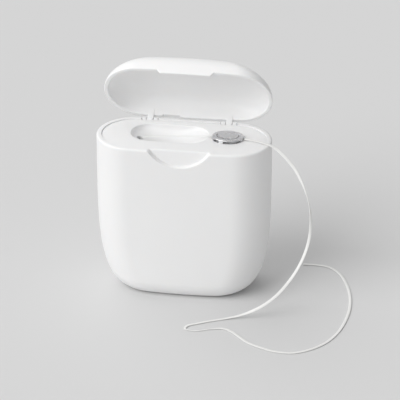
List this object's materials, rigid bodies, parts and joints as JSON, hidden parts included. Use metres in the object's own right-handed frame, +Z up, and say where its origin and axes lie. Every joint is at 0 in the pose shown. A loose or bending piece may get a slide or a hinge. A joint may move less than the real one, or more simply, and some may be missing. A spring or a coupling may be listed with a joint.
{
  "type": "dental floss dispenser",
  "caption": "Flat oval flip-top dispenser standing with its lid open, a bobbin of floss inside, a finger recess and a metal cutter on its deck, and a strand pulled out.",
  "frame": {"origin": "middle of the flat foot, on the surface that the dispenser stands on", "axes": "+Z up, -Y the front with the thumb dish, +X the viewer's right with the cutter"},
  "size_m": [0.0774, 0.0562, 0.0696],
  "materials": {
    "case_plastic": "satin",
    "deck_plastic": "satin",
    "lid_plastic": "satin",
    "cutter_steel": "rolled",
    "bobbin_plastic": "satin",
    "floss_fibre": "waxed"
  },
  "bodies": {
    "housing": {"case": "case_plastic", "deck_insert": "deck_plastic", "cutter_cap": "cutter_steel", "floss_run": "floss_fibre", "floss_strand": "floss_fibre"},
    "lid": {"lid": "lid_plastic"},
    "bobbin": {"bobbin": "bobbin_plastic", "floss_winding": "floss_fibre"}
  },
  "joints": [
    {"name": "lid_hinge", "type": "hinge", "parent": "housing", "child": "lid", "pos_m": [0, 0.0109, 0.04765], "axis": [-1, 0, 0], "range_deg": [-65, 45]},
    {"name": "bobbin_spin", "type": "hinge", "parent": "housing", "child": "bobbin", "pos_m": [0, 0, 0.021], "axis": [0, 1, 0], "continuous": true}
  ]
}
